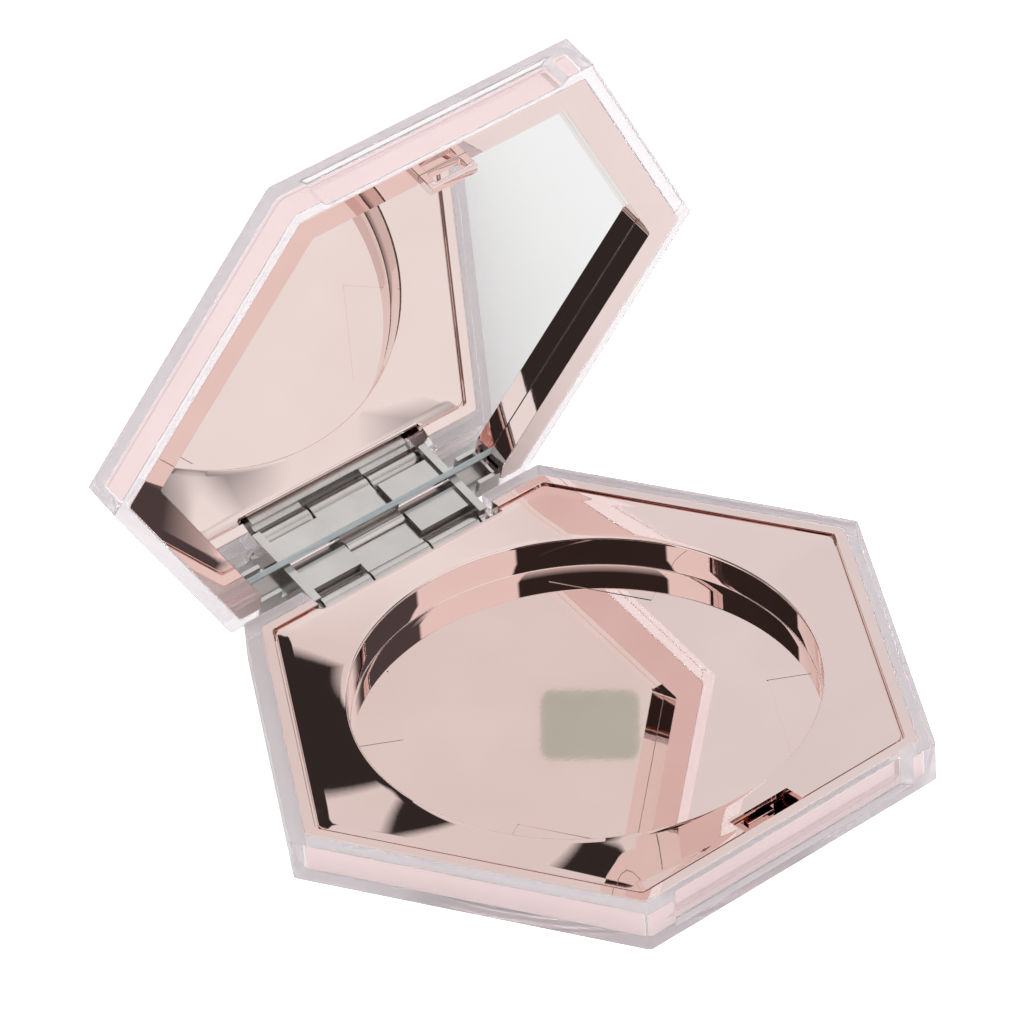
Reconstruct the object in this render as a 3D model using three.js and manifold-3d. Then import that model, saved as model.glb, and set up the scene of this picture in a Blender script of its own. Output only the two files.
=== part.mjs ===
// Hexagonal pressed-powder compact, standing open. Millimetres, +Z up, +X along the hinge,
// +Y towards the hinge, origin on the table under the middle of the hexagon.
import * as THREE from 'three';
import { mergeVertices } from 'three/addons/utils/BufferGeometryUtils.js';
import Module from 'manifold-3d';

const wasm = await Module();
wasm.setup();

// ---- driving dimensions ----
const HALF_WIDTH = 46;              // centre to a side corner of the hexagon
const BACK_EDGE = 37.9;             // the hinge side is cut back to here
const BASE_HEIGHT = 5.7;
const LID_GAP = 0.2;                // between the closed halves
const LID_HEIGHT = 5.4;
const OPEN_ANGLE = THREE.MathUtils.degToRad(73.75);
const HINGE_Y = 37.0;
const HINGE_Z = 2.1;

const CLEAR_WALL = 2.0;             // side wall of both clear shells
const CLEAR_FLOOR = 1.0;
const LINER_FLOOR = 0.45;
const CLEAR_TOP = 1.2;
const CORNER_RADIUS = 0.7;
const GAP = 0.05;                   // glue line between stacked pieces
const PLAY = 0.3;                   // clearance beside moving pieces

const WELL_RADIUS = 29.6;           // takes the common 59 mm powder pan
const WELL_CENTRE_Y = -0.4;
const WELL_FLOOR_TOP = 0.65;
const WELL_FLOOR_BOTTOM = 0;        // flush with the underside of the clear shell
const WELL_WALL = 0.6;
const WELL_LIP_Z = 4.9;
const LIP_ROUND = 0.3;
const DECK_EDGE_TOP = 5.45;
const DECK_CREASE_TOP = 5.35;
const DECK_BORDER = 0.9;            // flat strip round the dished deck
const DECK_THICKNESS = 0.8;
const LINER_RIM = 1.4;              // rose rim between clear wall and groove
const LINER_LEDGE = 1.2;            // step inside the liner that the deck rests on
const GROOVE = 0.35;

const SLOT_HALF_WIDTH = 4.6;        // latch slot in the front edge of the deck
const SLOT_BACK_Y = -33.1;
const HOOK_HALF_WIDTH = 3.6;
const HOOK_BACK_Y = -34.1;
const HOOK_THICKNESS = 1.3;
const HOOK_DROP = 2.5;              // how far it stands out of the lid
const HOOK_SILL = 0.7;              // bar under the window the catch snaps into
const CATCH_HALF_WIDTH = 2.1;
const CATCH_Z = 3.7;
const CATCH_TONGUE = 0.8;           // height of the tongue
const CATCH_REACH = 0.6;            // how far the tongue stands out of its foot

const BAY_HALF_WIDTH = 14.7;        // hinge window in the base
const BAY_FRONT_Y = 33.6;
const KNUCKLE_RADIUS = 1.75;
const PIN_RADIUS = 0.75;
const PIN_CLEARANCE = 0.08;
const CENTRE_KNUCKLE = 4.6;         // half length, on the lid
const SIDE_KNUCKLE = [4.9, 12.7];   // on the base, both sides
const CHEEK = [13.0, 14.2];         // end plates of the lid's leaf
const LEAF_HALF_WIDTH = 19.6;
const LEAF_FRONT_Y = 34.15;
const LEAF_BACK_Y = 37.6;
const LEAF_WEB = 1.5;               // thickness behind the panels
const LEAF_LIFT = 0.15;             // leaf roof stands this far behind the mirror face
const ARM_Z = 4.3;                  // where the web ends above the closed base
const PANEL_FRONT_Z = 4.0;
const PANEL_SLOT = 0.95;            // dark slot between the panels and the mirror
const EAR_RISE = 0.7;               // depth of the ears behind the lid's lower face
const PANEL_SETBACK = 0.5;
const EAR_INSET = 2.0;
const BROW_RADIUS = 1.1;
const BROW_DROP = 0.9;
const FOOT_TOP_Z = 3.6;             // hinge block on the base
const BLOCK_ARM_TOP_Z = 3.0;

const FACE_INSET = 6.1;             // outside of the lid to the mirror opening
const FACE_BACK_Y = 33.3;
const FACE_THICKNESS = 0.9;
const MIRROR_DEPTH = 2.7;
const MIRROR_THICKNESS = 0.85;
const MIRROR_BORDER = 1.1;          // glass hidden behind the frame
const BACKING_THICKNESS = 0.45;

const SCOOP_DEPTH = 1.1;            // finger recess in the front walls
const SCOOP_HALF_LENGTH = 18;
const SCOOP_RUNOUT = 2.2;
const SCOOP_LEDGE = 1.4;
const BIG = 200;

const LID_BOTTOM = BASE_HEIGHT + LID_GAP;
const LID_TOP = LID_BOTTOM + LID_HEIGHT;
const MIRROR_FACE_Z = LID_BOTTOM + MIRROR_DEPTH;
const ADHESIVE_Z = MIRROR_FACE_Z + MIRROR_THICKNESS + GAP / 2;
const BACKING_TOP = LID_TOP - CLEAR_TOP - GAP;
const BACKING_BOTTOM = BACKING_TOP - BACKING_THICKNESS;
const LINER_OUTSIDE = CLEAR_WALL + GAP;
const LINER_INSIDE = LINER_OUTSIDE + LINER_RIM;
const DECK_EDGE = LINER_INSIDE + GROOVE;
const APOTHEM = HALF_WIDTH * Math.sqrt(3) / 2;

// ---- solids ----
function solid(geometry) {
  const bare = geometry.clone();
  bare.deleteAttribute('normal');
  bare.deleteAttribute('uv');
  const merged = mergeVertices(bare, 1e-5);
  return new wasm.Manifold(new wasm.Mesh({
    numProp: 3,
    vertProperties: new Float32Array(merged.attributes.position.array),
    triVerts: new Uint32Array(merged.index.array),
  }));
}

function geometryOf(body) {
  const mesh = body.getMesh();
  const geometry = new THREE.BufferGeometry();
  geometry.setAttribute('position', new THREE.BufferAttribute(mesh.vertProperties, 3));
  geometry.setIndex(new THREE.BufferAttribute(mesh.triVerts, 1));
  geometry.computeVertexNormals();
  return geometry;
}

function box(x0, x1, y0, y1, z0, z1) {
  const geometry = new THREE.BoxGeometry(x1 - x0, y1 - y0, z1 - z0);
  geometry.translate((x0 + x1) / 2, (y0 + y1) / 2, (z0 + z1) / 2);
  return solid(geometry);
}

function rod(x0, x1, y, z, radius, sides = 32) {
  const geometry = new THREE.CylinderGeometry(radius, radius, x1 - x0, sides);
  geometry.rotateZ(Math.PI / 2);
  geometry.translate((x0 + x1) / 2, y, z);
  return solid(geometry);
}

function disc(radius, z0, z1, sides = 96) {
  const geometry = new THREE.CylinderGeometry(radius, radius, z1 - z0, sides);
  geometry.rotateX(Math.PI / 2);
  geometry.translate(0, WELL_CENTRE_Y, (z0 + z1) / 2);
  return solid(geometry);
}

function prism(points, z0, z1) {
  const shape = new THREE.Shape(points);
  const geometry = new THREE.ExtrudeGeometry(shape, { depth: z1 - z0, bevelEnabled: false });
  geometry.translate(0, 0, z0);
  return solid(geometry);
}

// Corners of the hexagon moved in by inset, with its hinge side cut off at back.
function corners(inset, back = BACK_EDGE - inset) {
  const apothem = APOTHEM - inset;
  const reach = apothem * 2 / Math.sqrt(3);
  const backHalf = reach - back / Math.sqrt(3);
  return [[reach, 0], [backHalf, back], [-backHalf, back], [-reach, 0],
    [-reach / 2, -apothem], [reach / 2, -apothem]].map(([x, y]) => new THREE.Vector2(x, y));
}

// The same outline with each corner turned into a short arc.
function outline(inset, back, radius = CORNER_RADIUS, steps = 3) {
  const sharp = corners(inset, back);
  const rounded = [];
  sharp.forEach((corner, i) => {
    const before = sharp[(i + sharp.length - 1) % sharp.length];
    const after = sharp[(i + 1) % sharp.length];
    const from = before.clone().sub(corner).normalize();
    const to = after.clone().sub(corner).normalize();
    const half = Math.acos(from.dot(to)) / 2;
    const middle = from.clone().add(to).normalize();
    const centre = corner.clone().addScaledVector(middle, radius / Math.sin(half));
    const start = corner.clone().addScaledVector(from, radius / Math.tan(half)).sub(centre);
    for (let step = 0; step <= steps; step += 1) {
      const turn = (Math.PI - 2 * half) * step / steps;
      rounded.push(start.clone().rotateAround(new THREE.Vector2(), turn).add(centre));
    }
  });
  return rounded;
}

function plate(inset, z0, z1, back) {
  return prism(outline(inset, back), z0, z1);
}

function cut(body, ...tools) {
  return tools.reduce((left, tool) => left.subtract(tool), body);
}

function join(first, ...others) {
  return others.reduce((sum, other) => sum.add(other), first);
}

function mirrored(make) {
  return [make(1), make(-1)];
}

function span(side, [inner, outer]) {
  return side > 0 ? [inner, outer] : [-outer, -inner];
}

// Finger recess in the front wall, fading out before both corners.
function scoop(z0, z1) {
  const front = -APOTHEM;
  return prism([
    new THREE.Vector2(-SCOOP_HALF_LENGTH - SCOOP_RUNOUT, front - 1),
    new THREE.Vector2(SCOOP_HALF_LENGTH + SCOOP_RUNOUT, front - 1),
    new THREE.Vector2(SCOOP_HALF_LENGTH, front + SCOOP_DEPTH),
    new THREE.Vector2(-SCOOP_HALF_LENGTH, front + SCOOP_DEPTH),
  ], z0, z1);
}

// ---- base ----
const WELL_OUTSIDE = WELL_RADIUS + WELL_WALL;
const BLOCK_FRONT_Y = WELL_CENTRE_Y + WELL_OUTSIDE + 2 * PLAY;

function hingeBay(z0, z1) {
  return box(-BAY_HALF_WIDTH, BAY_HALF_WIDTH, BAY_FRONT_Y, BIG, z0, z1);
}

function latchSlot(z0, z1) {
  return box(-SLOT_HALF_WIDTH, SLOT_HALF_WIDTH, HOOK_BACK_Y - HOOK_THICKNESS - 2 * PLAY,
    SLOT_BACK_Y, z0, z1);
}

function baseClearShell() {
  return cut(
    plate(0, 0, BASE_HEIGHT),
    plate(CLEAR_WALL, CLEAR_FLOOR, BIG),
    disc(WELL_OUTSIDE + PLAY, -1, BIG),
    hingeBay(-1, BIG),
    scoop(SCOOP_LEDGE, BIG),
  );
}

function baseLiner() {
  const floorTop = CLEAR_FLOOR + GAP + LINER_FLOOR;
  const ledgeTop = DECK_EDGE_TOP - DECK_THICKNESS - GAP;
  return cut(
    plate(LINER_OUTSIDE, CLEAR_FLOOR + GAP, BASE_HEIGHT),
    plate(LINER_INSIDE, ledgeTop, BIG),
    plate(LINER_INSIDE + LINER_LEDGE, floorTop, BIG),
    disc(WELL_OUTSIDE + PLAY, -1, BIG),
    hingeBay(-1, BIG),
    box(-BAY_HALF_WIDTH, BAY_HALF_WIDTH, BLOCK_FRONT_Y, BIG, floorTop, BIG),
    latchSlot(floorTop, BIG),
  );
}

// Distance from the well's centre to the hexagon outline in one direction.
function reachOf(inset, direction) {
  const edge = corners(inset);
  let best = Infinity;
  edge.forEach((a, i) => {
    const b = edge[(i + 1) % edge.length];
    const normal = new THREE.Vector2(b.y - a.y, a.x - b.x).normalize();
    const toward = normal.dot(direction);
    const offset = normal.dot(a) - normal.y * WELL_CENTRE_Y;
    if (toward > 1e-9) best = Math.min(best, offset / toward);
  });
  return best;
}

// Deck, well wall and well floor as one skin swept round the well's axis: each profile
// point is a radius (a number, or an inset of the hexagon) and a height.
function deckBody() {
  const profile = [
    { r: WELL_RADIUS, z: WELL_FLOOR_TOP },
    { r: WELL_RADIUS, z: WELL_LIP_Z - LIP_ROUND },
    { r: WELL_RADIUS + LIP_ROUND, z: WELL_LIP_Z },
    { inset: DECK_EDGE + DECK_BORDER, z: DECK_CREASE_TOP },
    { inset: DECK_EDGE, z: DECK_EDGE_TOP },
    { inset: DECK_EDGE, z: DECK_EDGE_TOP - DECK_THICKNESS },
    { inset: DECK_EDGE + LINER_LEDGE, z: DECK_EDGE_TOP - DECK_THICKNESS },
    { r: WELL_OUTSIDE, z: WELL_LIP_Z - DECK_THICKNESS },
    { r: WELL_OUTSIDE, z: WELL_FLOOR_BOTTOM },
  ];
  const centre = new THREE.Vector2(0, WELL_CENTRE_Y);
  const cornerAngles = corners(DECK_EDGE).map((p) => p.clone().sub(centre).angle());
  const even = Array.from({ length: 96 }, (_, i) => i * Math.PI / 48);
  const far = (angle) => cornerAngles.every((c) => Math.abs(angle - c) > 0.02);
  const angles = [...even.filter(far), ...cornerAngles].sort((a, b) => a - b);
  const positions = [];
  angles.forEach((angle) => {
    const direction = new THREE.Vector2(Math.cos(angle), Math.sin(angle));
    profile.forEach(({ r, inset, z }) => {
      const radius = r ?? reachOf(inset, direction);
      positions.push(direction.x * radius, WELL_CENTRE_Y + direction.y * radius, z);
    });
  });
  const rows = profile.length;
  const top = positions.length / 3;
  positions.push(0, WELL_CENTRE_Y, WELL_FLOOR_TOP, 0, WELL_CENTRE_Y, WELL_FLOOR_BOTTOM);
  const faces = [];
  angles.forEach((_, i) => {
    const here = i * rows;
    const next = ((i + 1) % angles.length) * rows;
    for (let row = 0; row + 1 < rows; row += 1) {
      faces.push(here + row, next + row + 1, next + row, here + row, here + row + 1, next + row + 1);
    }
    faces.push(top, here, next, top + 1, next + rows - 1, here + rows - 1);
  });
  const geometry = new THREE.BufferGeometry();
  geometry.setAttribute('position', new THREE.Float32BufferAttribute(positions, 3));
  geometry.setIndex(faces);
  return solid(geometry);
}

function baseDeck() {
  return cut(deckBody(), latchSlot(WELL_FLOOR_TOP, BIG), hingeBay(-1, BIG));
}

function latchCatch() {
  const footFront = SLOT_BACK_Y + PLAY;
  const footBack = WELL_CENTRE_Y - WELL_OUTSIDE - PLAY;
  const bottom = CLEAR_FLOOR + LINER_FLOOR + 2 * GAP;
  return join(
    box(-CATCH_HALF_WIDTH * 2, CATCH_HALF_WIDTH * 2, footFront, footBack, bottom, CATCH_Z),
    box(-CATCH_HALF_WIDTH, CATCH_HALF_WIDTH, SLOT_BACK_Y - CATCH_REACH, footFront + 2 * GAP,
      CATCH_Z - CATCH_TONGUE, CATCH_Z),
  );
}

function baseHingeBlock() {
  const bottom = CLEAR_FLOOR + LINER_FLOOR + 2 * GAP;
  const half = SIDE_KNUCKLE[1];
  const foot = box(-half, half, BLOCK_FRONT_Y, HINGE_Y - KNUCKLE_RADIUS - 2 * PLAY,
    bottom, FOOT_TOP_Z);
  const arms = mirrored((side) => {
    const [x0, x1] = span(side, SIDE_KNUCKLE);
    return box(x0, x1, BLOCK_FRONT_Y + 1, HINGE_Y, bottom, BLOCK_ARM_TOP_Z)
      .add(rod(x0, x1, HINGE_Y, HINGE_Z, KNUCKLE_RADIUS));
  });
  const bore = rod(-BIG, BIG, HINGE_Y, HINGE_Z, PIN_RADIUS + PIN_CLEARANCE);
  return cut(join(foot, ...arms), bore);
}

function hingePin(side) {
  const [x0, x1] = span(side, [CENTRE_KNUCKLE - 3, CHEEK[1]]);
  return rod(x0, x1, HINGE_Y, HINGE_Z, PIN_RADIUS);
}

// ---- lid, drawn closed over the base ----
function lidHingeWindow(front, z0, z1) {
  const half = LEAF_HALF_WIDTH + 4 * GAP;
  return box(-half, half, front, BIG, z0, z1);
}

function lidClearShell() {
  return cut(
    plate(0, LID_BOTTOM, LID_TOP),
    plate(CLEAR_WALL, -1, LID_TOP - CLEAR_TOP),
    lidHingeWindow(LEAF_FRONT_Y - 3 * GAP, -1, BACKING_BOTTOM - GAP),
    scoop(-1, LID_TOP - SCOOP_LEDGE),
  );
}

function lidFrame() {
  const pocketOutside = LINER_OUTSIDE + FACE_THICKNESS;
  const pocketInside = FACE_INSET - FACE_THICKNESS;
  const faceTop = LID_BOTTOM + FACE_THICKNESS;
  const wallTop = MIRROR_FACE_Z - GAP;
  const innerWall = plate(pocketInside, -1, BIG, FACE_BACK_Y + FACE_THICKNESS);
  const channel = cut(plate(pocketOutside, faceTop, BIG), innerWall);
  const mirrorSeat = plate(pocketOutside, wallTop, BIG);
  return cut(
    plate(LINER_OUTSIDE, LID_BOTTOM, BACKING_BOTTOM - GAP),
    plate(FACE_INSET, -1, BIG, FACE_BACK_Y),
    channel,
    mirrorSeat,
    lidHingeWindow(FACE_BACK_Y - 1, -1, BIG),
  );
}

function mirrorGlass() {
  return plate(FACE_INSET - MIRROR_BORDER, MIRROR_FACE_Z, MIRROR_FACE_Z + MIRROR_THICKNESS,
    FACE_BACK_Y + 0.5);
}

function mirrorAdhesive() {
  return plate(FACE_INSET + 2, ADHESIVE_Z, BACKING_BOTTOM - GAP / 2, FACE_BACK_Y - 2);
}

function lidBackingPlate() {
  return plate(LINER_OUTSIDE, BACKING_BOTTOM, BACKING_TOP);
}

// Grey leaf that carries the lid: a web behind the frame's hinge side, two raised panels,
// two end cheeks and the middle arm that ends in the lid's knuckle.
function lidHingeLeaf() {
  const plateZ = MIRROR_FACE_Z + LEAF_LIFT;
  const plateTop = BACKING_BOTTOM - GAP;
  const webY = LEAF_BACK_Y - LEAF_WEB;
  const web = box(-CHEEK[1], CHEEK[1], webY, LEAF_BACK_Y, ARM_Z, plateTop);
  const wings = box(-LEAF_HALF_WIDTH, LEAF_HALF_WIDTH, webY, LEAF_BACK_Y,
    LID_BOTTOM + 2 * GAP, plateTop);
  const slots = mirrored((side) => {
    const [x0, x1] = span(side, [SIDE_KNUCKLE[0], CHEEK[0]]);
    return box(x0, x1, -BIG, webY, plateZ - 1, BIG);
  });
  const roof = cut(
    box(-LEAF_HALF_WIDTH, LEAF_HALF_WIDTH, LEAF_FRONT_Y, LEAF_BACK_Y, plateZ, plateTop),
    ...slots,
  );
  const cheeks = mirrored((side) => {
    const [x0, x1] = span(side, CHEEK);
    return box(x0, x1, LEAF_FRONT_Y, HINGE_Y + KNUCKLE_RADIUS, HINGE_Z, plateTop)
      .add(rod(x0, x1, HINGE_Y, HINGE_Z, KNUCKLE_RADIUS));
  });
  const panels = mirrored((side) => {
    const [x0, x1] = span(side, [SIDE_KNUCKLE[0], CHEEK[0] + 2 * GAP]);
    return box(x0, x1, LEAF_FRONT_Y + PANEL_SETBACK, webY + 2 * GAP,
      PANEL_FRONT_Z, MIRROR_FACE_Z - PANEL_SLOT);
  });
  const ears = mirrored((side) => {
    const [x0, x1] = span(side, [CHEEK[1] + EAR_INSET, LEAF_HALF_WIDTH]);
    return box(x0, x1, LEAF_FRONT_Y + PANEL_SETBACK, webY + 2 * GAP,
      LID_BOTTOM + 2 * GAP, LID_BOTTOM + EAR_RISE);
  });
  const arm = box(-CENTRE_KNUCKLE, CENTRE_KNUCKLE, webY - 2 * PLAY, HINGE_Y + KNUCKLE_RADIUS,
    HINGE_Z, plateTop);
  const brow = rod(-CENTRE_KNUCKLE, CENTRE_KNUCKLE, webY - 4 * GAP,
    MIRROR_FACE_Z - BROW_DROP, BROW_RADIUS);
  const knuckle = rod(-CENTRE_KNUCKLE, CENTRE_KNUCKLE, HINGE_Y, HINGE_Z, KNUCKLE_RADIUS);
  const bore = rod(-BIG, BIG, HINGE_Y, HINGE_Z, PIN_RADIUS + PIN_CLEARANCE);
  return cut(join(web, wings, roof, ...cheeks, ...panels, ...ears, arm, brow, knuckle), bore);
}

function latchHook() {
  const front = HOOK_BACK_Y - HOOK_THICKNESS;
  const bottom = LID_BOTTOM - HOOK_DROP;
  const windowHalf = CATCH_HALF_WIDTH + PLAY;
  const top = MIRROR_FACE_Z - 2 * GAP;
  return cut(
    box(-HOOK_HALF_WIDTH, HOOK_HALF_WIDTH, front, HOOK_BACK_Y, bottom, top),
    box(-windowHalf, windowHalf, -BIG, 0, bottom + HOOK_SILL, LID_BOTTOM - PLAY),
  );
}

function hookSeat() {
  return box(-HOOK_HALF_WIDTH - GAP, HOOK_HALF_WIDTH + GAP, HOOK_BACK_Y - HOOK_THICKNESS - GAP,
    0, -1, MIRROR_FACE_Z - GAP);
}

// ---- materials ----
function finish(color, roughness, metalness, opacity = 1) {
  return new THREE.MeshStandardMaterial({
    color, roughness, metalness, opacity, transparent: opacity < 1,
  });
}

const CLEAR = finish(0xf2e6e6, 0.04, 0, 0.35);
const ROSE = finish(0xe6bdb2, 0.06, 1);
const GREY = finish(0xb9b4b0, 0.2, 0.8);
const STEEL = finish(0xb5b7ba, 0.25, 1);
const SILVER = finish(0xe8edea, 0.02, 1);
const TAPE = finish(0xd9d6cc, 0.8, 0);

// ---- assembly ----
function piece(name, body, material) {
  const mesh = new THREE.Mesh(geometryOf(body), material);
  mesh.name = name;
  return mesh;
}

const base = new THREE.Group();
base.add(
  piece('base_clear_shell', baseClearShell(), CLEAR),
  piece('base_liner', baseLiner(), ROSE),
  piece('base_deck', baseDeck(), ROSE),
  piece('latch_catch', latchCatch(), ROSE),
  piece('base_hinge_block', baseHingeBlock(), GREY),
  piece('hinge_pin_right', hingePin(1), STEEL),
  piece('hinge_pin_left', hingePin(-1), STEEL),
);

const lidParts = new THREE.Group();
lidParts.add(
  piece('lid_clear_shell', lidClearShell(), CLEAR),
  piece('lid_frame', cut(lidFrame(), hookSeat()), ROSE),
  piece('lid_backing_plate', lidBackingPlate(), ROSE),
  piece('mirror_glass', mirrorGlass(), SILVER),
  piece('mirror_adhesive', mirrorAdhesive(), TAPE),
  piece('lid_hinge_leaf', lidHingeLeaf(), GREY),
  piece('latch_hook', latchHook(), ROSE),
);
lidParts.position.set(0, -HINGE_Y, -HINGE_Z);

const lid = new THREE.Group();
lid.add(lidParts);
lid.position.set(0, HINGE_Y, HINGE_Z);
lid.rotation.x = -OPEN_ANGLE;

const compact = new THREE.Group();
compact.add(base, lid);

export default compact;
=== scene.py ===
"""Looks of the hexagonal powder compact: polished clear shells over rose metallised mouldings,
a silvered mirror and a satin grey hinge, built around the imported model."""

import math

import bmesh
import bpy
from mathutils import Matrix, Vector

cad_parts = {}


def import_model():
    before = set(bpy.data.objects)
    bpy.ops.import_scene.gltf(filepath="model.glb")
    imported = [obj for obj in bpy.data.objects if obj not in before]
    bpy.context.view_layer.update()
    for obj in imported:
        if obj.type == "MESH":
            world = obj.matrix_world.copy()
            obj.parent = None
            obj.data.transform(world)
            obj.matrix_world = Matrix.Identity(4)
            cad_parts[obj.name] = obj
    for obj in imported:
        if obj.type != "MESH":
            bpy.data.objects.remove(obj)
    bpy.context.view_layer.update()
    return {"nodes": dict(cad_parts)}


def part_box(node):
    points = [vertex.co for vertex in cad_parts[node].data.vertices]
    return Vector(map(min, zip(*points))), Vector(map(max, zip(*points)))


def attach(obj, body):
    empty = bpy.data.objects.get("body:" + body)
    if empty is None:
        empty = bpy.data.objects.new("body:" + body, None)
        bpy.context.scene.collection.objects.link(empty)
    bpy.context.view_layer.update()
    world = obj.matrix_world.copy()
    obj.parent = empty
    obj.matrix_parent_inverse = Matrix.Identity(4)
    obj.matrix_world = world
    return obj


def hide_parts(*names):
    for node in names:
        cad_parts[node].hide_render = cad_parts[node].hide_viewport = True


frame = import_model()
MM = 0.001

# ---- camera ----
AIM = Vector((3.9, 17.1, 20.0)) * MM
DISTANCE = 0.761
HEADING = math.radians(36.72)       # clockwise from +Y, seen from above
ELEVATION = math.radians(37.16)
ROLL = math.radians(-4.41)
LENS = 214.26                       # on a 36 mm wide sensor

# ---- deck ----
WELL_CENTRE_Y = -0.4 * MM
WELL_RADIUS = 29.6 * MM
WELL_FLOOR = 0.65 * MM
LIP_Z = 4.9 * MM
LIP_ROUND = 0.3 * MM
LIP_SUPPORT = 0.04 * MM             # rows that keep the wall's shading straight
WALL_SUPPORT = 1.0 * MM
FLOOR_ROUND = 0.12 * MM
FOOT_SWEEP = 0.10 * MM              # the wall leans in towards its foot
FOOT_HEIGHT = 1.4 * MM
DECK_EDGE_Z = 5.45 * MM
CREASE_Z = 5.35 * MM
BORDER = 0.9 * MM
UNDERSIDE_Z = 4.1 * MM
DECK_THICKNESS = 0.8 * MM
DECK_CORNER = 0.5 * MM
DECK_ROUND = 0.12 * MM              # round of the deck's outer edge
SKIRT_INSET = 1.2 * MM              # where the deck's underside meets the well's outside
WELL_WALL = 0.6 * MM
FOOT_CHAMFER = 0.1 * MM
CUT_ROUND = 0.08 * MM               # round of the slot's and the hinge bay's edges
STATIONS = 360                      # sections round the well
BLEND_ROWS = 10                     # rows from the lip to the crease
SLOT_HALF = 4.6 * MM                # the latch slot, in the front of the deck
SLOT_BACK = -33.1 * MM
BAY_HALF = 14.7 * MM                # the hinge bay, in the back of the deck
BAY_FRONT = 33.6 * MM
FAR = 100 * MM                      # past the compact on every side

# ---- witness lines on the well's floor: length, width, depth ----
SEAM_LONG = (14.0 * MM, 0.2 * MM, 0.08 * MM)
SEAM_SHORT = (5.6 * MM, 0.1 * MM, 0.04 * MM)
SEAM_CORNER_X = 20.2 * MM           # from the well's centre
SEAM_CORNER_Y = 11.2 * MM

# ---- mirror ----
OPEN = math.radians(73.75)          # how far the lid stands open at rest
EDGE_STRIP = 1.5 * MM               # pale strip along the hinge side

# ---- studio ----
DARK = (0.035, 0.028, 0.026)
SOOT = (0.09, 0.085, 0.09)
BACK_TONE = (0.80, 0.79, 0.79)
FRONT_TONE = (0.86, 0.80, 0.79)
PANEL_TONE = (0.55, 0.60, 0.53)
MAT_Z = 0.2 * MM
BOUNCES = 64                        # light crosses many walls inside the clear shells


# ================================ materials ================================
class Nodes:
    """A short way to build a node material: add nodes, link sockets, keep the shader at hand."""

    def __init__(self, name):
        self.material = bpy.data.materials.new(name)
        self.material.use_nodes = True
        self.tree = self.material.node_tree
        self.shader = self.tree.nodes["Principled BSDF"]

    def add(self, kind, **values):
        node = self.tree.nodes.new(kind)
        for key, value in values.items():
            if key in node.inputs:
                node.inputs[key].default_value = value
            else:
                setattr(node, key, value)
        return node

    def link(self, source, output, target, socket):
        self.tree.links.new(source.outputs[output], target.inputs[socket])

    def set(self, **values):
        for key, value in values.items():
            self.shader.inputs[key.replace("_", " ")].default_value = value

    def noise(self, scale, detail=3.0, roughness=0.5, stretch=(1, 1, 1)):
        """3-D noise in the object's own metres; scale is cells per metre."""
        place = self.add("ShaderNodeTexCoord")
        mapping = self.add("ShaderNodeMapping")
        mapping.inputs["Scale"].default_value = stretch
        noise = self.add("ShaderNodeTexNoise", Scale=scale, Detail=detail, Roughness=roughness)
        self.link(place, "Object", mapping, "Vector")
        self.link(mapping, "Vector", noise, "Vector")
        return noise

    def ramp(self, source, output, low, high, start=0.3, end=0.7):
        """Values of source between start and end, spread between two colours."""
        ramp = self.add("ShaderNodeValToRGB")
        first, last = ramp.color_ramp.elements
        first.position, first.color = start, (*low, 1)
        last.position, last.color = end, (*high, 1)
        self.link(source, output, ramp, "Fac")
        return ramp

    def spread(self, source, output, low, high):
        """Values of source from 0 to 1, spread between two numbers."""
        spread = self.add("ShaderNodeMapRange")
        spread.inputs["To Min"].default_value = low
        spread.inputs["To Max"].default_value = high
        self.link(source, output, spread, "Value")
        return spread

    def bump(self, layers):
        """Chain of (height source, output, distance in metres, strength)."""
        before = None
        for source, output, distance, strength in layers:
            bump = self.add("ShaderNodeBump", Strength=strength, Distance=distance)
            self.link(source, output, bump, "Height")
            if before is not None:
                self.link(before, "Normal", bump, "Normal")
            before = bump
        self.link(before, "Normal", self.shader, "Normal")


def rose_material():
    """Vacuum-metallised plastic under a rose lacquer: mirror-bright, a little wavy."""
    made = Nodes("rose_metallised")
    tone = made.noise(70, 2.0)
    colour = made.ramp(tone, "Fac", (0.86, 0.70, 0.665), (0.89, 0.74, 0.71))
    made.link(colour, "Color", made.shader, "Base Color")
    haze = made.noise(420, 4.0)
    rough = made.spread(haze, "Fac", 0.004, 0.022)
    made.link(rough, "Result", made.shader, "Roughness")
    made.set(Metallic=1.0)
    swell = made.noise(45, 1.0)
    ripple = made.noise(1400, 1.0)
    made.bump([(swell, "Fac", 0.000002, 0.25), (ripple, "Fac", 0.0000002, 0.6)])
    return made.material


def grey_material():
    """Satin silver-grey metallised hinge mouldings."""
    made = Nodes("grey_metallised")
    tone = made.noise(150, 3.0)
    colour = made.ramp(tone, "Fac", (0.60, 0.57, 0.555), (0.69, 0.66, 0.645))
    made.link(colour, "Color", made.shader, "Base Color")
    grain = made.noise(2600, 4.0)
    rough = made.spread(grain, "Fac", 0.10, 0.26)
    made.link(rough, "Result", made.shader, "Roughness")
    made.set(Metallic=0.92)
    made.bump([(made.noise(4200, 3.0), "Fac", 0.000004, 0.35)])
    return made.material


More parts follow.
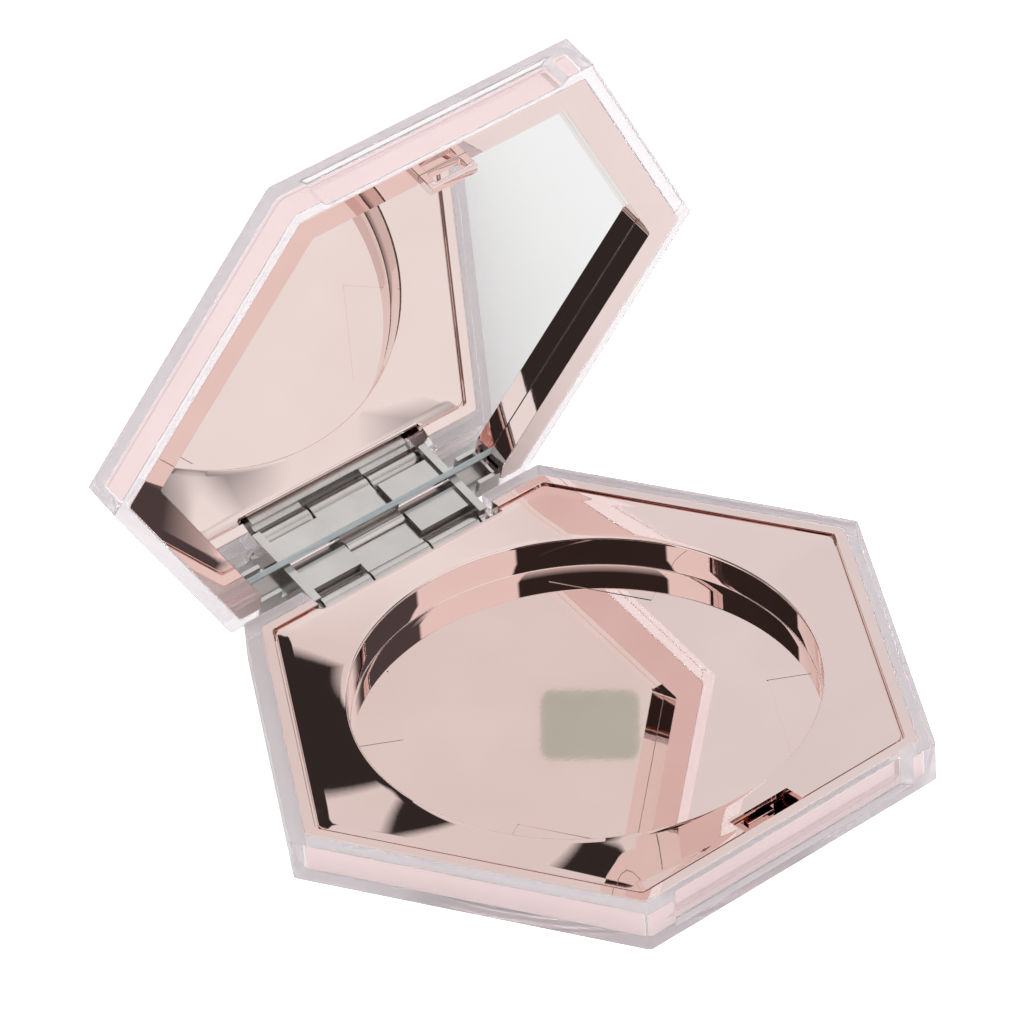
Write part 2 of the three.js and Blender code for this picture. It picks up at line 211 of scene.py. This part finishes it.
def clear_material():
    """Polished clear moulding with faint flow marks, a breath of mauve and a faint painted glow that
    lightens its thick edges.
    """
    made = Nodes("clear_plastic")
    tone = made.noise(60, 2.0)
    colour = made.ramp(tone, "Fac", (0.95, 0.915, 0.93), (0.965, 0.935, 0.945))
    made.link(colour, "Color", made.shader, "Base Color")
    haze = made.noise(700, 4.0)
    rough = made.spread(haze, "Fac", 0.0, 0.03)
    made.link(rough, "Result", made.shader, "Roughness")
    # the emission is a painted mauve glow: painted light that keeps the thick edges of the shells
    # light
    made.set(IOR=1.49, Transmission_Weight=0.93, Emission_Color=(0.96, 0.88, 0.92, 1),
             Emission_Strength=0.05)
    flow = made.noise(90, 1.0, stretch=(1, 1, 2.5))
    made.bump([(flow, "Fac", 0.00006, 0.12)])
    return made.material


def mirror_material():
    """Silvered float glass seen from the front: neutral, with a trace of dust haze."""
    made = Nodes("mirror_face")
    tone = made.noise(30, 1.0)
    colour = made.ramp(tone, "Fac", (0.925, 0.93, 0.925), (0.94, 0.945, 0.94))
    made.link(colour, "Color", made.shader, "Base Color")
    dust = made.noise(5200, 5.0, 0.7)
    rough = made.spread(dust, "Fac", 0.0, 0.02)
    made.link(rough, "Result", made.shader, "Roughness")
    made.set(Metallic=1.0)
    return made.material


def glass_edge_material():
    """Ground edge of the glass: pale and bluish, with fine grinding lines."""
    made = Nodes("mirror_edge")
    lines = made.noise(2400, 3.0, stretch=(0.1, 1, 1))
    colour = made.ramp(lines, "Fac", (0.62, 0.74, 0.77), (0.80, 0.88, 0.90))
    made.link(colour, "Color", made.shader, "Base Color")
    rough = made.spread(lines, "Fac", 0.18, 0.4)
    made.link(rough, "Result", made.shader, "Roughness")
    made.bump([(lines, "Fac", 0.00001, 0.4)])
    return made.material


def steel_material():
    """Drawn steel wire: fine lines round the pin."""
    made = Nodes("pin_steel")
    lines = made.noise(1800, 4.0, stretch=(8, 1, 1))
    colour = made.ramp(lines, "Fac", (0.5, 0.5, 0.51), (0.68, 0.68, 0.69))
    made.link(colour, "Color", made.shader, "Base Color")
    rough = made.spread(lines, "Fac", 0.2, 0.4)
    made.link(rough, "Result", made.shader, "Roughness")
    made.set(Metallic=1.0)
    made.bump([(lines, "Fac", 0.000006, 0.4)])
    return made.material


def tape_material():
    """Foamed double-sided tape: small closed cells."""
    made = Nodes("tape")
    cells = made.add("ShaderNodeTexVoronoi", Scale=3500.0)
    place = made.add("ShaderNodeTexCoord")
    made.link(place, "Object", cells, "Vector")
    colour = made.ramp(cells, "Distance", (0.62, 0.6, 0.55), (0.76, 0.74, 0.69), 0.1, 0.8)
    made.link(colour, "Color", made.shader, "Base Color")
    made.set(Roughness=0.85)
    made.bump([(cells, "Distance", 0.00008, 0.5)])
    return made.material


# ================================ meshes ================================
def new_object(name, bm):
    """Scene object made of a bmesh, which it uses up."""
    mesh = bpy.data.meshes.new(name)
    bm.to_mesh(mesh)
    bm.free()
    made = bpy.data.objects.new(name, mesh)
    bpy.context.scene.collection.objects.link(made)
    return made


def clean(bm):
    """Merge the triangles of each flat face, so that bevels run true along real edges."""
    bmesh.ops.remove_doubles(bm, verts=bm.verts, dist=2e-6)
    bmesh.ops.dissolve_limit(bm, angle_limit=math.radians(0.4), verts=bm.verts, edges=bm.edges)
    bmesh.ops.recalc_face_normals(bm, faces=bm.faces)


def apply_modifiers(made):
    """Turn the object's modifiers into plain geometry."""
    graph = bpy.context.evaluated_depsgraph_get()
    mesh = bpy.data.meshes.new_from_object(made.evaluated_get(graph))
    made.modifiers.clear()
    made.data = mesh


def bevel(made, width, segments, angle=30):
    """Round every edge that turns by more than the angle."""
    mod = made.modifiers.new("bevel", "BEVEL")
    mod.width = width
    mod.segments = segments
    mod.limit_method = "ANGLE"
    mod.angle_limit = math.radians(angle)
    mod.use_clamp_overlap = True
    mod.miter_outer = "MITER_ARC"
    mod.harden_normals = False
    bpy.context.view_layer.update()
    apply_modifiers(made)


def even_normals(made, angle=50):
    """Flat faces keep their own direction, and only the rounded edges turn."""
    made.data.shade_smooth()
    made.data.set_sharp_from_angle(angle=math.radians(angle))
    mod = made.modifiers.new("normals", "WEIGHTED_NORMAL")
    mod.keep_sharp = True
    mod.weight = 100
    mod.thresh = 0.001
    bpy.context.view_layer.update()
    apply_modifiers(made)


def finish_piece(made, material, body, node):
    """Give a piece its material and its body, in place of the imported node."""
    made.data.materials.clear()
    made.data.materials.append(material)
    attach(made, body)
    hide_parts(node)


def refined(node, width, segments=3):
    """A node's shape with every real edge rounded."""
    bm = bmesh.new()
    bm.from_mesh(frame["nodes"][node].data)
    clean(bm)
    made = new_object(node + "_finish", bm)
    if width:
        made.data.shade_smooth()
        bevel(made, width, segments)
        even_normals(made)
    else:
        made.data.shade_flat()
    return made


# ================================ deck ================================
def hexagon_sides(node):
    """Outward direction and distance from the frame's origin of a node's six sides."""
    low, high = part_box(node)
    sides = [(math.radians(turn), -low.y) for turn in (30, 150, 210, 270, 330)]
    sides.append((math.radians(90), high.y))
    return sides


def reach(sides, inset, angle, corner=0.0):
    """Distance from the well's centre to the outline in one direction, corners eased."""
    best = []
    for normal, offset in sides:
        toward = math.cos(angle - normal)
        if toward > 1e-6:
            centre = WELL_CENTRE_Y * math.sin(normal)
            best.append((offset - inset - centre) / toward)
    best.sort()
    if corner <= 0:
        return best[0]
    gap = best[1] - best[0]
    ease = max(0.0, corner - gap)
    return best[0] - ease * ease / (4 * corner)


def deck_profile():
    """Radius and height of each row from the well's floor to its lip."""
    rows = []
    steps = 4
    foot = WELL_RADIUS - FOOT_SWEEP
    for i in range(steps + 1):
        turn = math.pi / 2 * i / steps
        rows.append((foot - FLOOR_ROUND * (1 - math.sin(turn)),
                     WELL_FLOOR + FLOOR_ROUND * (1 - math.cos(turn))))
    for i in range(1, 9):
        share = i / 8
        rows.append((foot + FOOT_SWEEP * (1 - (1 - share) ** 2),
                     WELL_FLOOR + FLOOR_ROUND + FOOT_HEIGHT * share))
    straight = LIP_Z - LIP_ROUND - LIP_SUPPORT
    rows.append((WELL_RADIUS, straight - WALL_SUPPORT))
    rows.append((WELL_RADIUS, straight))
    for i in range(6):
        turn = math.pi / 2 * i / 5
        rows.append((WELL_RADIUS + LIP_ROUND * (1 - math.cos(turn)),
                     LIP_Z - LIP_ROUND * (1 - math.sin(turn))))
    return rows


def deck_sweep():
    """Deck, well wall and well floor as one fine skin round the well's axis."""
    bm = bmesh.new()
    inner = deck_profile()
    sides = hexagon_sides("base_deck")
    outside = WELL_RADIUS + WELL_WALL
    rows_per_station = []
    for station in range(STATIONS):
        angle = 2 * math.pi * station / STATIONS
        way = Vector((math.cos(angle), math.sin(angle), 0))
        centre = Vector((0, WELL_CENTRE_Y, 0))
        edge = reach(sides, 0, angle, DECK_CORNER)
        crease = reach(sides, BORDER, angle, DECK_CORNER * 3)
        points = list(inner)
        start = WELL_RADIUS + LIP_ROUND
        for i in range(1, BLEND_ROWS + 1):
            share = i / BLEND_ROWS
            points.append((start + (crease - start) * share, LIP_Z + (CREASE_Z - LIP_Z) * share))
        shoulder = DECK_ROUND / 4
        skirt_z = DECK_EDGE_Z - DECK_THICKNESS
        points += [(edge - DECK_ROUND, DECK_EDGE_Z), (edge - shoulder, DECK_EDGE_Z - shoulder),
                   (edge, DECK_EDGE_Z - DECK_ROUND), (edge, skirt_z),
                   (reach(sides, SKIRT_INSET, angle), skirt_z),
                   (outside, UNDERSIDE_Z), (outside, FOOT_CHAMFER), (outside - FOOT_CHAMFER, 0.0)]
        rows_per_station.append([bm.verts.new(centre + way * r + Vector((0, 0, z)))
                                 for r, z in points])
    count = len(rows_per_station[0])
    for station in range(STATIONS):
        here = rows_per_station[station]
        following = rows_per_station[(station + 1) % STATIONS]
        for row in range(count - 1):
            bm.faces.new((here[row], here[row + 1], following[row + 1], following[row]))
    bm.faces.new([rows[0] for rows in rows_per_station])
    bm.faces.new([rows[-1] for rows in reversed(rows_per_station)])
    bmesh.ops.recalc_face_normals(bm, faces=bm.faces)
    return bm


def box_mesh(low, high):
    """Box between two corners."""
    bm = bmesh.new()
    size = [h - l for l, h in zip(low, high)]
    middle = [(h + l) / 2 for l, h in zip(low, high)]
    bmesh.ops.create_cube(bm, size=1, matrix=Matrix.Translation(middle) @ Matrix.Diagonal((*size, 1)))
    return bm


def subtract(made, *cutters):
    """Cut the cutters out of an object and delete them."""
    for cutter in cutters:
        mod = made.modifiers.new("cut", "BOOLEAN")
        mod.operation = "DIFFERENCE"
        mod.solver = "EXACT"
        mod.object = cutter
    bpy.context.view_layer.update()
    apply_modifiers(made)
    for cutter in cutters:
        bpy.data.objects.remove(cutter)


def floor_seams():
    """Cutters for the fine witness lines of four moulded inserts beside the well's wall."""
    made = []
    lines = ((120, *SEAM_LONG), (30, *SEAM_SHORT))
    for across in (1, -1):
        for along in (1, -1):
            corner = Vector((SEAM_CORNER_X * across, WELL_CENTRE_Y + SEAM_CORNER_Y * along,
                             WELL_FLOOR))
            for turn, length, width, depth in lines:
                turn = math.radians(turn)
                way = Vector((math.cos(turn) * across, math.sin(turn) * along, 0))
                bm = bmesh.new()
                bmesh.ops.create_cube(bm, size=1)
                place = (Matrix.Translation(corner + way * (length / 2))
                         @ Matrix.Rotation(math.atan2(way.y, way.x), 4, "Z"))
                bm.transform(place @ Matrix.Diagonal((length, width, 2 * depth, 1)))
                made.append(new_object("seam_cutter_%d" % len(made), bm))
    return made


def build_deck(material):
    """The swept deck with its latch slot, hinge bay and witness lines."""
    made = new_object("base_deck_finish", deck_sweep())
    slot = box_mesh((-SLOT_HALF, -FAR, WELL_FLOOR), (SLOT_HALF, SLOT_BACK, FAR))
    bay = box_mesh((-BAY_HALF, BAY_FRONT, -FAR), (BAY_HALF, FAR, FAR))
    subtract(made, new_object("slot_cutter", slot), new_object("bay_cutter", bay))
    made.data.shade_smooth()
    bevel(made, CUT_ROUND, 2, 60)
    subtract(made, *floor_seams())
    even_normals(made)
    finish_piece(made, material, "base", "base_deck")


# ================================ mirror ================================
def build_mirror(face, edge):
    """Glass slab with a softened edge. Its broad faces look silvered, except along the open
    hinge side, where the ground edge shows through the glass as a pale strip."""
    made = refined("mirror_glass", 0.07 * MM, 2)
    across = Vector((0, math.sin(OPEN), math.cos(OPEN)))
    upward = Vector((0, -math.cos(OPEN), math.sin(OPEN)))
    foot = min(vertex.co.dot(upward) for vertex in made.data.vertices)
    bm = bmesh.new()
    bm.from_mesh(made.data)
    bmesh.ops.bisect_plane(bm, geom=bm.verts[:] + bm.edges[:] + bm.faces[:],
                           plane_co=upward * (foot + EDGE_STRIP), plane_no=upward)
    bm.to_mesh(made.data)
    bm.free()
    even_normals(made)
    finish_piece(made, face, "lid", "mirror_glass")
    made.data.materials.append(edge)
    for polygon in made.data.polygons:
        low = polygon.center.dot(upward) < foot + EDGE_STRIP
        if low or abs(polygon.normal.dot(across)) < 0.95:
            polygon.material_index = 1


# ================================ stage ================================
def direction(azimuth, elevation):
    """Unit vector: azimuth clockwise from +Y seen from above, elevation over the horizon."""
    a, e = math.radians(azimuth), math.radians(elevation)
    return Vector((math.sin(a) * math.cos(e), math.cos(a) * math.cos(e), math.sin(e)))


def card(name, turns, heights, shade, distance=100.0):
    """Distant patch of the studio between some azimuths and elevations (degrees). Each list
    holds (angle, strength) pairs, so that an edge is as soft as the gap between two pairs."""
    bm = bmesh.new()
    strength = bm.verts.layers.float.new("strength")
    rows = []
    for height, up_share in heights:
        row = []
        for turn, side_share in turns:
            vertex = bm.verts.new(direction(turn, height) * distance)
            vertex[strength] = up_share * side_share
            row.append(vertex)
        rows.append(row)
    for low, high in zip(rows, rows[1:]):
        for i in range(len(turns) - 1):
            bm.faces.new((low[i], low[i + 1], high[i + 1], high[i]))
    return distant(name, bm, shade)


def panel(name, place, size, tilt, shade, distance):
    """Distant sheet with rounded corners. Its place, size and tilt are in degrees."""
    bm = bmesh.new()
    strength = bm.verts.layers.float.new("strength")
    ahead = direction(*place)
    right = Vector((ahead.y, -ahead.x, 0)).normalized()
    up = right.cross(ahead)
    turn = Matrix.Rotation(-math.radians(tilt), 3, ahead)
    right, up = turn @ right, turn @ up
    wide, tall = (math.tan(math.radians(side / 2)) for side in size)
    corner = 0.35 * tall
    rim = []
    for quarter, (x, y) in enumerate(((1, 1), (-1, 1), (-1, -1), (1, -1))):
        for step in range(5):
            angle = math.pi / 2 * (quarter + step / 4)
            sideways = right * (x * (wide - corner) + corner * math.cos(angle))
            upwards = up * (y * (tall - corner) + corner * math.sin(angle))
            vertex = bm.verts.new((ahead + sideways + upwards) * distance)
            vertex[strength] = 1.0
            rim.append(vertex)
    bm.faces.new(rim)
    return distant(name, bm, shade)


def distant(name, bm, shade):
    """A studio surface that only shows in reflections."""
    made = new_object(name, bm)
    made.data.materials.append(card_material(name, shade))
    made.visible_camera = False
    made.visible_shadow = False
    made.visible_diffuse = False
    made.visible_transmission = False
    return made


def card_material(name, shade):
    """Unlit shade that fades out towards the soft edges."""
    made = Nodes(name)
    tree = made.tree
    share = made.add("ShaderNodeAttribute", attribute_name="strength")
    grain = made.noise(0.02, 2.0)
    tone = made.ramp(grain, "Fac", [c * 0.95 for c in shade], [min(1, c * 1.05) for c in shade])
    glow = made.add("ShaderNodeEmission")
    clear = made.add("ShaderNodeBsdfTransparent")
    mix = made.add("ShaderNodeMixShader")
    made.link(tone, "Color", glow, "Color")
    tree.links.new(share.outputs["Fac"], mix.inputs[0])
    tree.links.new(clear.outputs[0], mix.inputs[1])
    tree.links.new(glow.outputs[0], mix.inputs[2])
    tree.links.new(mix.outputs[0], tree.nodes["Material Output"].inputs["Surface"])
    return made.material


def columns(start, end, soft=1.5, step=4.0):
    """Azimuths from start to end with a soft edge on both sides."""
    count = max(2, int((end - start) / step) + 1)
    inner = [(start + (end - start) * i / (count - 1), 1.0) for i in range(count)]
    return [(start - soft, 0.0)] + inner + [(end + soft, 0.0)]


def mat(name, turns, near, far, shade):
    """Dark sheet lying on the table away from the compact."""
    bm = bmesh.new()
    strength = bm.verts.layers.float.new("strength")
    ring = [direction(turn, 0) * near for turn in turns]
    ring += [direction(turn, 0) * far for turn in reversed(turns)]
    corners = [bm.verts.new(point + Vector((0, 0, MAT_Z))) for point in ring]
    for corner in corners:
        corner[strength] = 1.0
    bm.faces.new(corners)
    return distant(name, bm, shade)


def floor(radius, z, name, glow, seen_by_camera):
    """Pale table top, for the camera or for what the object reflects."""
    bm = bmesh.new()
    bmesh.ops.create_circle(bm, cap_ends=True, segments=96, radius=radius)
    made = new_object(name, bm)
    made.location.z = z
    material = Nodes(name)
    grain = material.noise(30, 2.0)
    colour = material.ramp(grain, "Fac", (0.93, 0.93, 0.93), (0.95, 0.95, 0.95))
    material.link(colour, "Color", material.shader, "Base Color")
    material.set(Roughness=0.9, Specular_IOR_Level=0.1, Emission_Color=(1, 1, 1, 1),
                 Emission_Strength=glow)
    made.data.materials.append(material.material)
    made.visible_camera = seen_by_camera
    made.visible_glossy = not seen_by_camera
    made.visible_transmission = not seen_by_camera
    made.visible_diffuse = False
    made.visible_shadow = False


def world():
    """Plain white surroundings."""
    made = bpy.data.worlds.new("studio")
    made.use_nodes = True
    made.node_tree.nodes["Background"].inputs["Color"].default_value = (1, 1, 1, 1)
    made.node_tree.nodes["Background"].inputs["Strength"].default_value = 1.0
    bpy.context.scene.world = made


def overhead(size, height, energy):
    """Soft lamp straight above, which the reflections don't show."""
    lamp = bpy.data.lights.new("overhead", "AREA")
    lamp.shape = "DISK"
    lamp.size = size
    lamp.energy = energy
    made = bpy.data.objects.new("overhead", lamp)
    made.location = (0, 0, height)
    bpy.context.scene.collection.objects.link(made)
    made.visible_glossy = False
    made.visible_transmission = False


def camera():
    """The photograph's point of view."""
    ahead = Vector((math.sin(HEADING) * math.cos(ELEVATION),
                    math.cos(HEADING) * math.cos(ELEVATION), -math.sin(ELEVATION)))
    right = Vector((math.cos(HEADING), -math.sin(HEADING), 0))
    up = right.cross(ahead)
    turn = Matrix.Rotation(-ROLL, 3, ahead)
    right, up = turn @ right, turn @ up
    eye = bpy.data.cameras.new("camera")
    eye.lens = LENS
    eye.sensor_width = 36
    made = bpy.data.objects.new("camera", eye)
    axes = Matrix((right, up, -ahead)).transposed()
    made.matrix_world = Matrix.Translation(AIM - ahead * DISTANCE) @ axes.to_4x4()
    bpy.context.scene.collection.objects.link(made)
    bpy.context.scene.camera = made


def stage():
    """White studio with the dark and toned surfaces that the polished faces reflect."""
    world()
    floor(3.0, -0.05 * MM, "floor_bright", 0.9, True)
    floor(1.2, -0.03 * MM, "floor_reflected", 0.0, False)
    card("dark_camera_side", columns(-171, -98),
         [(-2, 1), (10, 1), (25, 1), (40, 1), (46, 0.7), (60, 0)], DARK)
    card("dark_right_side", columns(86, 122.5, 10, 2),
         [(20, 0), (26, 1), (40, 1), (52.5, 1), (55.5, 0)], SOOT)
    card("dark_right_edge", columns(120.5, 131, 2, 3),
         [(20, 0), (26, 1), (40, 1), (45, 0)], SOOT, 102.0)
    card("dark_right_low", columns(112, 149.3, 0.4),
         [(5.6, 0), (6.2, 1), (9, 1), (12.2, 1), (13, 0)], DARK)
    mat("dark_table_end", [-125, -110, -100, -90, -80, -70, -60], 0.16, 1.15, DARK)
    card("back_wall", columns(0, 75, 25, 15),
         [(-3, 1), (20, 1), (55, 1), (80, 0)], BACK_TONE, 120.0)
    card("front_wall", columns(146, 176, 12, 6),
         [(-2, 1), (14, 1), (22, 0)], FRONT_TONE, 110.0)
    panel("grey_green_panel", (151.2, 11.72), (0.94, 0.66), -23.4, PANEL_TONE, 90.0)
    overhead(0.5, 0.9, 0.5)
    scene = bpy.context.scene
    scene.view_settings.view_transform = "Standard"
    scene.cycles.max_bounces = BOUNCES
    scene.cycles.transmission_bounces = BOUNCES
    scene.cycles.glossy_bounces = 16
    scene.cycles.diffuse_bounces = 16


# ================================ assembly ================================
def main():
    """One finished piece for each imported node. Edge rounds are in millimetres."""
    rose, grey, clear = rose_material(), grey_material(), clear_material()
    steel, tape = steel_material(), tape_material()
    build_deck(rose)
    build_mirror(mirror_material(), glass_edge_material())
    for node, width, material, body, slot in (
            ("base_clear_shell", 0.22, clear, "base", "clear_plastic"),
            ("base_liner", 0.10, rose, "base", "rose_metallised"),
            ("latch_catch", 0.10, rose, "base", "rose_metallised"),
            ("base_hinge_block", 0.10, grey, "base", "grey_metallised"),
            ("hinge_pin_right", 0.10, steel, "base", "pin_steel"),
            ("hinge_pin_left", 0.10, steel, "base", "pin_steel"),
            ("lid_clear_shell", 0.22, clear, "lid", "clear_plastic"),
            ("lid_frame", 0.10, rose, "lid", "rose_metallised"),
            ("lid_backing_plate", 0.08, rose, "lid", "rose_metallised"),
            ("mirror_adhesive", 0.0, tape, "lid", "tape"),
            ("lid_hinge_leaf", 0.12, grey, "lid", "grey_metallised"),
            ("latch_hook", 0.15, rose, "lid", "rose_metallised")):
        finish_piece(refined(node, width * MM), material, body, node)


camera()
main()
stage()
